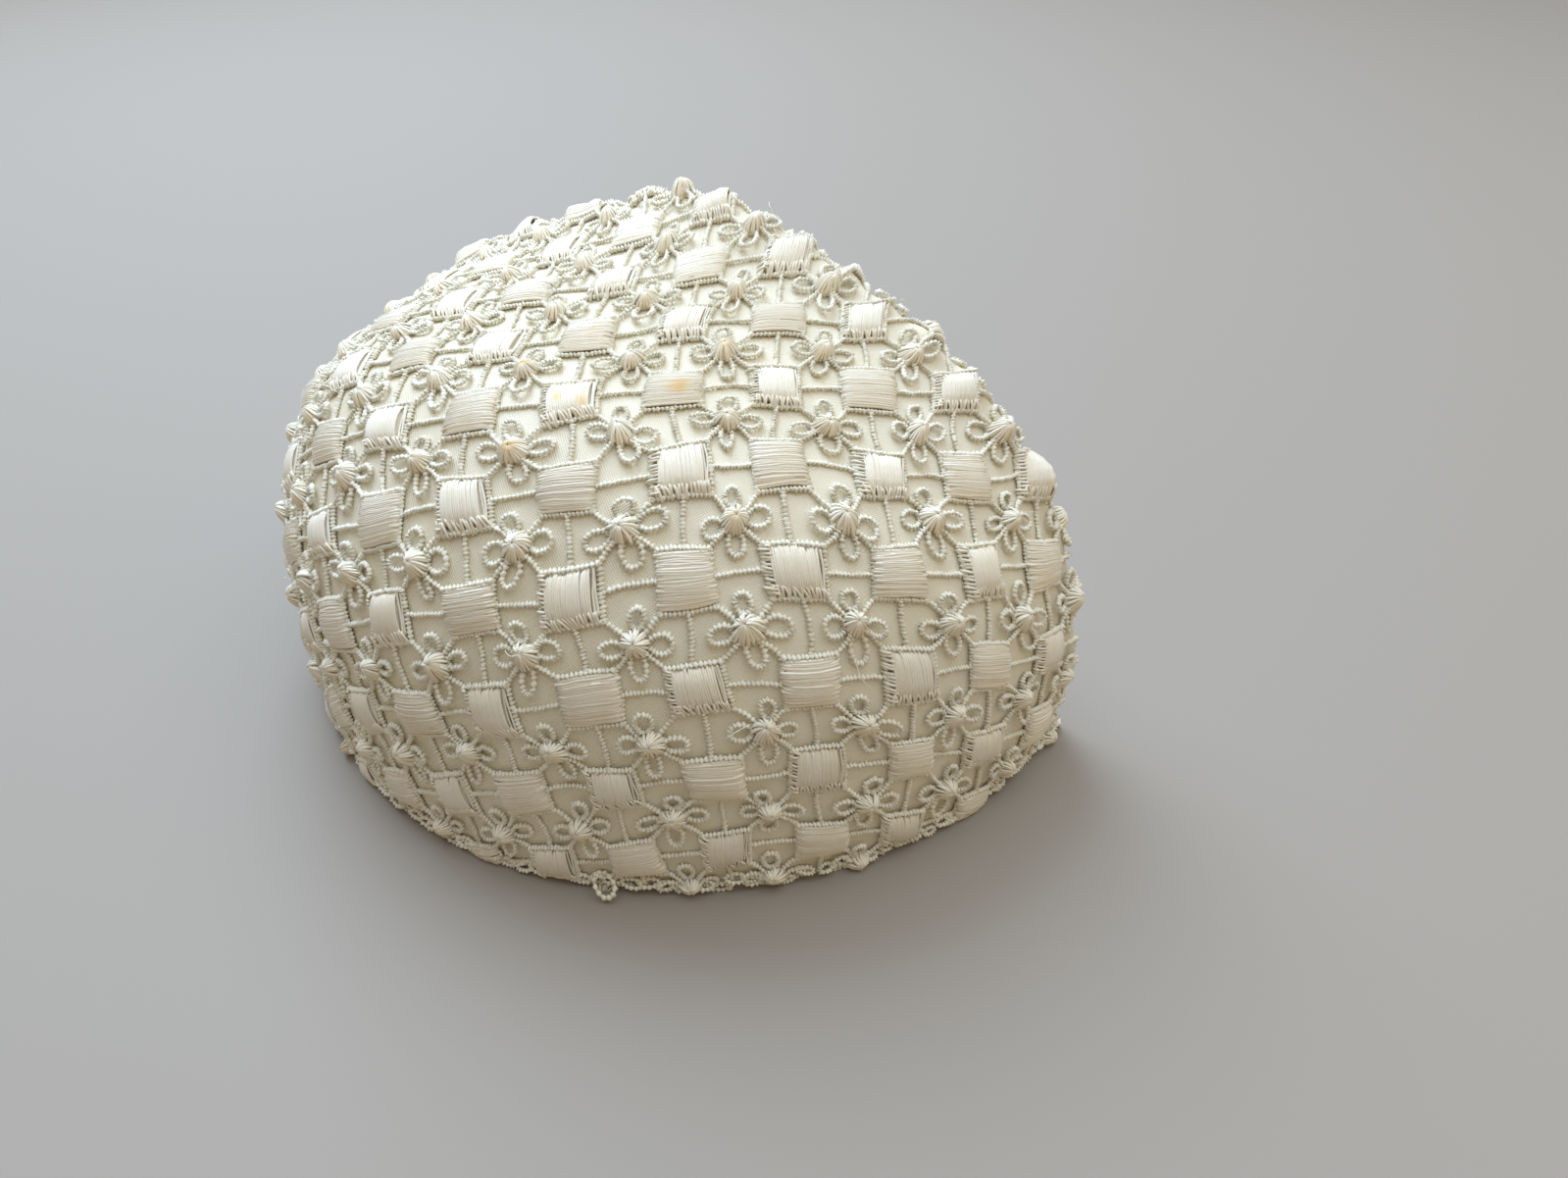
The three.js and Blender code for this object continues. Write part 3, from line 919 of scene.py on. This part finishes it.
# short stitches that run out over the edge cords of an upright block
edgeStitch = {
    "radius": (0.18, 0.26, 0.28, 0.22),
    "foot": {
        "stitches": 15,
        "spots": (-4.0, 4.0),
        "out": (-2.5, -3.2, -4.4, -4.9),
        "height": (1.75, 1.55, 1.0, 0.3),
        "slant": (-0.35, 0, 0.35, 0.5),
    },
    "side": {
        "stitches": 13,
        "spots": (-3.6, 4.2),
        "out": (-3.3, -3.85, -4.55, -4.95),
        "height": (1.75, 1.65, 1.15, 0.35),
        "slant": (-0.1, 0, 0.1, 0.15),
    },
    "uneven": {"out": 0.045, "slant": (-0.2, 1.6), "shift": 0.07, "height": 0.06},
}


def makeBlockStitches():
    uneven = edgeStitch["uneven"]
    paths = []
    for edge in ("foot", "side"):
        row = edgeStitch[edge]
        each = (len(uprightBlocks), row["stitches"], 1)
        run = np.array(row["out"]) * (1 + chance.normal(0, uneven["out"], each))
        spots = np.linspace(*row["spots"], row["stitches"])[None, :, None]
        sideways = spots + np.array(row["slant"]) * chance.uniform(*uneven["slant"], each)
        sideways = sideways + chance.normal(0, uneven["shift"], each)
        level = np.array(row["height"]) + chance.normal(0, uneven["height"], each)
        order = [sideways, run, level] if edge == "foot" else [run, sideways, level]
        path = np.stack(order, axis=-1) + flatPlaces(uprightBlocks)[:, None, None]
        paths.append(path.reshape(-1, len(row["out"]), 3))
    return makeLace("lace_block_stitches", ropes(np.concatenate(paths), edgeStitch["radius"]), flossThread)


# stitched cords round the blocks
blockCord = {
    "half": 4.5,
    "past": 0.15,  # over the corner
    "radius": 0.49,
    "height": 0.65,
    "upper": 0.3,
    "stations": 27,
    "lump": 0.42,
}


def makeBlockCords():
    half, stations = blockCord["half"], blockCord["stations"]
    t = np.linspace(-1, 1, stations) * (half + blockCord["past"])
    level = np.full(stations, blockCord["height"])
    side = np.full(stations, half)
    upper = level + blockCord["upper"]
    edges = ((t, side, upper), (t, -side, level), (side, t, level), (-side, t, level))
    square = np.stack([np.stack(edge, axis=1) for edge in edges])
    paths = (square[None] + flatPlaces(blockPlaces)[:, None, None]).reshape(-1, stations, 3)
    shape = ropes(paths, blockCord["radius"], lump=blockCord["lump"])
    return makeLace("lace_block_cords", shape, cordThread)


# bars from block to block
laceBar = {
    "reach": 4.15,
    "radius": 0.44,
    "height": 0.65,
    "stations": 25,
    "lump": 0.42,
    "sag": 0.2,
    "wander": 0.2,
    "uneven": 0.05,
}


def makeBars():
    t = np.linspace(-1, 1, laceBar["stations"])
    bow = 1 - t**2
    paths = []
    for places, upright in ((acrossPlaces, False), (uprightPlaces, True)):
        each = (len(places), 1)
        wander = chance.normal(0, laceBar["wander"], each) * bow
        run = np.broadcast_to(t * laceBar["reach"], wander.shape)
        level = laceBar["height"] - laceBar["sag"] * bow + chance.normal(0, laceBar["uneven"], each)
        path = np.stack([wander, run, level] if upright else [run, wander, level], axis=-1)
        paths.append(path + flatPlaces(places)[:, None])
    shape = ropes(np.concatenate(paths), laceBar["radius"], lump=laceBar["lump"])
    return makeLace("lace_bars", shape, cordThread)


# flowers: four looped petals, a domed knot and four cords to the blocks' corners
flowerPetal = {
    "stations": 32,
    "radius": 0.47,
    "lump": 0.42,
    "fullness": 0.85,
    "narrow": 0.12,  # share of its width that it loses towards the knot
    "height": 0.6,
    "raised": (-0.1, 0.8),  # at its tip
    "uneven": {"far": 0.28, "half": 0.16, "turn": 8},
    "table": (
        {"turn": 90, "near": 2.4, "far": 5.8, "half": 1.35},  # up the repeat
        {"turn": 0, "near": 2.1, "far": 5.9, "half": 1.5},
        {"turn": 180, "near": 2.1, "far": 5.9, "half": 1.5},
        {"turn": 270, "near": 1.4, "far": 6.1, "half": 1.45},
    ),
}


def turned(out, side, turn):
    x = out * np.cos(turn) - side * np.sin(turn)
    y = out * np.sin(turn) + side * np.cos(turn)
    return x, y


def makePetals():
    stations, uneven = flowerPetal["stations"], flowerPetal["uneven"]
    each = (len(flowerPlaces), 1)
    t = 2 * math.pi * (np.arange(stations) + 0.5) / stations
    bowed = np.sign(np.sin(t)) * np.abs(np.sin(t)) ** flowerPetal["fullness"]
    paths = []
    for row in flowerPetal["table"]:
        far = row["far"] + chance.normal(0, uneven["far"], each)
        half = row["half"] + chance.normal(0, uneven["half"], each)
        near = row["near"]
        out = near + (far - near) * (1 - np.cos(t)) / 2
        width = 1 - flowerPetal["narrow"] + flowerPetal["narrow"] * (out - near) / (far - near)
        lift = flowerPetal["height"] + chance.uniform(*flowerPetal["raised"], each) * (out / far) ** 2
        turn = np.radians(row["turn"] + chance.normal(0, uneven["turn"], each))
        x, y = turned(out, half * bowed * width, turn)
        paths.append(np.stack([x, y, lift], axis=-1) + flatPlaces(flowerPlaces)[:, None])
    shape = ropes(np.concatenate(paths), flowerPetal["radius"], closed=True, lump=flowerPetal["lump"])
    return makeLace("lace_petals", shape, cordThread)


flowerTie = {
    "turns": (45, 135, 225, 315),
    "near": 1.2,
    "far": 6.2,
    "radius": 0.44,
    "height": 0.6,
    "raised": 0.5,  # at the knot
    "bow": 0.2,
    "stations": 15,
    "lump": 0.42,
}


def makeTies():
    t = np.linspace(0, 1, flowerTie["stations"])
    out = flowerTie["near"] + (flowerTie["far"] - flowerTie["near"]) * t
    paths = []
    for turn in flowerTie["turns"]:
        bow = chance.normal(0, flowerTie["bow"], (len(flowerPlaces), 1)) * np.sin(math.pi * t)
        level = np.broadcast_to(flowerTie["height"] + flowerTie["raised"] * (1 - t) ** 2, bow.shape)
        x, y = turned(out, bow, math.radians(turn))
        paths.append(np.stack([x, y, level], axis=-1) + flatPlaces(flowerPlaces)[:, None])
    shape = ropes(np.concatenate(paths), flowerTie["radius"], lump=flowerTie["lump"])
    return makeLace("lace_ties", shape, cordThread)


# the knot's threads fan out from a peak over a small dome
flowerKnot = {
    "radius": 2.35,
    "height": 2.75,
    "low": 0.8,
    "lean": 0.95,
    "threads": 22,
    "out": (0.06, 0.35, 0.65, 0.88, 1.0),  # stations of a thread, and its thickness there
    "thick": 0.29,
    "taper": (0.55, 0.8, 1.0, 1.0, 0.8),
    "roundness": 2.2,
    "dome": {"segments": 12, "rings": 8, "foot": 0.15},
    "domeShare": {"side": 0.85, "top": 0.75, "lean": 0.8},  # of the knot's radius, height and lean
    "uneven": {"turn": 0.07, "twist": 0.3, "radius": 0.07, "height": 0.06, "lean": 0.35, "tilt": 0.18},
}


def knotMotif():
    choose()
    dome, share = flowerKnot["dome"], flowerKnot["domeShare"]
    bpy.ops.mesh.primitive_uv_sphere_add(segments=dome["segments"], ring_count=dome["rings"], radius=1)
    ball = bpy.context.object
    bpy.ops.object.mode_set(mode="EDIT")
    bpy.ops.mesh.select_all(action="SELECT")
    bpy.ops.mesh.bisect(plane_co=(0, 0, 0), plane_no=(0, 0, 1), use_fill=True, clear_inner=True)
    bpy.ops.object.mode_set(mode="OBJECT")
    flat, faces = takeMotif(ball)
    side = share["side"] * flowerKnot["radius"]
    flat = flat * (side, side, share["top"] * flowerKnot["height"])
    flat[:, 1] += share["lean"] * flowerKnot["lean"] * (flat[:, 2] / flowerKnot["height"]) ** 2
    return flat + (0, 0, dome["foot"]), faces


def makeKnots():
    count, threads = len(flowerPlaces), flowerKnot["threads"]
    each, whole = (count, threads, 1), (count, 1, 1)
    uneven = flowerKnot["uneven"]
    out = np.array(flowerKnot["out"])
    turn = 2 * math.pi * np.arange(threads)[None, :, None] / threads + chance.normal(0, uneven["turn"], each)
    turn = turn + out * chance.normal(0, uneven["twist"], whole)
    far = flowerKnot["radius"] * (1 + chance.normal(0, uneven["radius"], each)) * out
    rise = 1 - out ** flowerKnot["roundness"]
    level = flowerKnot["low"] + (flowerKnot["height"] - flowerKnot["low"]) * rise
    level = level + chance.normal(0, uneven["height"], each)
    lean = flowerKnot["lean"] * chance.normal(1, uneven["lean"], whole) * rise
    tilt = chance.normal(0, uneven["tilt"], whole) * rise
    paths = np.stack([far * np.cos(turn) + tilt, far * np.sin(turn) + lean, level], axis=-1)
    paths = paths + flatPlaces(flowerPlaces)[:, None, None]
    thick = flowerKnot["thick"] * np.array(flowerKnot["taper"])
    fan = ropes(paths.reshape(-1, len(out), 3), thick)
    return makeLace("lace_knots", joined(fan, copies(knotMotif(), flowerPlaces)), bundleThread)


# loops of the lace's cut edge along the neck rim
rimLoop = {
    "spacing": 3.1,
    "fromEnds": 4.0,
    "stations": 24,
    "half": 1.6,
    "reach": 0.35,
    "past": -0.3,  # round the hem, from the end of the straight wall
    "high": 0.5,  # share of its half width
    "off": 0.7,
    "radius": 0.43,
    "lump": 0.4,
    "uneven": {"along": 0.5, "half": (0.7, 1.25), "reach": (0.5, 1.4), "past": 0.7, "lean": 0.3},
    "hanging": {"along": 102.0, "half": 1.8, "reach": 1.6, "past": -1.1, "high": 0.8},
    "lineSteps": 400,
}


def rimLine():
    rim = rimAt(np.linspace(planStart, math.pi - planStart, rimLoop["lineSteps"]))
    length = np.linalg.norm(np.diff(rim, axis=0, prepend=rim[:1]), axis=-1).cumsum()
    return rim, length


def layRim(flat):
    # along the rim, round its hem and off it, in millimetres
    rim, length = rimLine()
    edge = np.stack([np.interp(flat[:, 0], length, rim[:, k]) for k in range(3)], axis=-1)
    points = rollRim(edge, flat[:, 1], flat[:, 2])
    points[:, 2] -= np.minimum(flat[:, 1], 0)
    return standing(points)


def makeRimLoops():
    length = rimLine()[1][-1]
    along = np.arange(rimLoop["fromEnds"], length - rimLoop["fromEnds"], rimLoop["spacing"])[:, None]
    each, uneven, hanging = along.shape, rimLoop["uneven"], rimLoop["hanging"]
    loops = {
        "along": along + chance.normal(0, uneven["along"], each),
        "half": rimLoop["half"] * chance.uniform(*uneven["half"], each),
        "reach": rimLoop["reach"] * chance.uniform(*uneven["reach"], each),
        "past": rimLoop["past"] + chance.normal(0, uneven["past"], each),
        "high": np.full(each, rimLoop["high"]),
    }
    loose = np.abs(loops["along"] - hanging["along"]).argmin()
    for key, value in hanging.items():
        loops[key][loose] = value
    t = 2 * math.pi * np.arange(rimLoop["stations"]) / rimLoop["stations"]
    lean = chance.normal(0, uneven["lean"], each)
    x = loops["along"] + loops["half"] * np.cos(t) + lean * np.sin(t)
    y = loops["past"] + loops["high"] * loops["half"] * np.sin(t)
    z = rimLoop["off"] + loops["reach"] * (1 + np.sin(t))
    shape = ropes(np.stack([x, y, z], axis=-1), rimLoop["radius"], closed=True, lump=rimLoop["lump"])
    return makeLace("lace_rim_loops", shape, cordThread, layRim)


# loose ends that stand off the lace: place in repeats, heading in degrees, length in millimetres
looseEnd = {
    "radius": 0.07,
    "stations": 14,
    "bend": 0.7,
    "curl": 0.5,
    "curlPace": 4,
    "foot": 1.2,
    "rise": (1.2, 3.0),
    "arch": 2.2,
    "table": (
        {"place": (3.9, -0.9), "heading": 60, "length": 9.0},
        {"place": (3.4, 0.35), "heading": 20, "length": 7.0},
        {"place": (2.35, -2.2), "heading": 75, "length": 6.0},
        {"place": (0.75, -3.6), "heading": 110, "length": 8.0},
        {"place": (-0.6, -4.1), "heading": 80, "length": 7.0},
        {"place": (-2.1, -3.4), "heading": 130, "length": 6.0},
        {"place": (-3.9, -1.6), "heading": 170, "length": 7.0},
        {"place": (-1.45, 1.3), "heading": 250, "length": 5.0},
        {"place": (1.4, 1.75), "heading": 310, "length": 6.0},
        {"place": (0.4, 2.4), "heading": 200, "length": 5.0},
        {"place": (-6.2, 0.3), "heading": 100, "length": 7.0},
        {"place": (-7.4, -2.1), "heading": 30, "length": 6.0},
    ),
}


def makeLooseEnds():
    t = np.linspace(0, 1, looseEnd["stations"])
    paths = []
    for row in looseEnd["table"]:
        bend = chance.normal(0, looseEnd["bend"]) * t
        curl = looseEnd["curl"] * np.sin(looseEnd["curlPace"] * t + chance.uniform(*anyStart))
        heading = math.radians(row["heading"]) + bend + curl
        step = row["length"] / looseEnd["stations"]
        x = np.cumsum(np.cos(heading)) * step
        y = np.cumsum(np.sin(heading)) * step
        z = looseEnd["foot"] + chance.uniform(*looseEnd["rise"]) * np.sin(looseEnd["arch"] * t)
        paths.append(np.stack([x, y, z], axis=1) + flatPlaces(np.array([row["place"]])))
    return makeLace("lace_loose_ends", ropes(np.stack(paths), looseEnd["radius"]), bundleThread)


lacePieces = [
    makeBlocks(),
    makeBlockStitches(),
    makeBlockCords(),
    makeBars(),
    makePetals(),
    makeTies(),
    makeKnots(),
    makeRimLoops(),
    makeLooseEnds(),
]

satinPiece.data.calc_loop_triangles()
satinArea = sum(t.area for t in satinPiece.data.loop_triangles) / 2
print("satin area", round(satinArea, 4), "square metres")


# floor, light and camera
studio = {
    "floor": {"colour": (0.345, 0.31, 0.265, 1), "roughness": 0.7, "shine": 0.5, "sheen": 0.0},
    "floorSize": 6,
    "air": (1.0, 0.785, 0.54, 1),
    "airStrength": 0.3,
    "target": (0, 0, 0.05),
    "lamps": {
        "window": {"place": (-0.66, 0.44, 0.98), "size": 1.0, "power": 14.8, "colour": (0.79, 0.985, 1.26)},
        "overhead": {"place": (0.2, 0.15, 1.6), "size": 2.2, "power": 18.5, "colour": (0.82, 0.985, 1.2)},
        "warmSide": {"place": (0.82, 0.3, 0.45), "size": 0.9, "power": 1.0, "colour": (1.0, 0.8, 0.47)},
    },
}

choose()
bpy.ops.mesh.primitive_plane_add(size=studio["floorSize"], location=(0, 0, 0))
floor = bpy.context.object
floor.name = "floor"
floorPaint, floorShader = startMaterial("paleFloor", studio["floor"])
floorShader.inputs["Base Color"].default_value = studio["floor"]["colour"]
floor.data.materials.append(floorPaint)

world = bpy.data.worlds.new("softAir")
bpy.context.scene.world = world
world.use_nodes = True
air = world.node_tree.nodes["Background"]
air.inputs["Color"].default_value = studio["air"]
air.inputs["Strength"].default_value = studio["airStrength"]

for name, row in studio["lamps"].items():
    bpy.ops.object.light_add(type="AREA", location=row["place"])
    lamp = bpy.context.object
    lamp.name = name
    lamp.data.shape = "DISK"
    lamp.data.size = row["size"]
    lamp.data.energy = row["power"]
    lamp.data.color = row["colour"]
    aim = Vector(studio["target"]) - Vector(row["place"])
    lamp.rotation_euler = aim.to_track_quat("-Z", "Y").to_euler()

photoCamera = {
    "place": (0.1241, -0.1376, 0.1692),
    "turn": 30.2,
    "tilt": 38.0,
    "roll": 1.2,
    "sensor": 36,
    "focalPixels": 1150,  # focal length and width of the photo, in its pixels
    "widePixels": 1599,
    "clipStart": 0.01,
}
bpy.ops.object.camera_add()
camera = bpy.context.object
camera.matrix_world = (
    Matrix.Translation(photoCamera["place"])
    @ Matrix.Rotation(math.radians(photoCamera["turn"]), 4, "Z")
    @ Matrix.Rotation(math.radians(90 - photoCamera["tilt"]), 4, "X")
    @ Matrix.Rotation(math.radians(-photoCamera["roll"]), 4, "Z")
)
camera.data.sensor_width = photoCamera["sensor"]
camera.data.lens = photoCamera["sensor"] * photoCamera["focalPixels"] / photoCamera["widePixels"]
camera.data.clip_start = photoCamera["clipStart"]
bpy.context.scene.camera = camera
bpy.context.scene.view_settings.view_transform = "Standard"
print("camera and light placed")
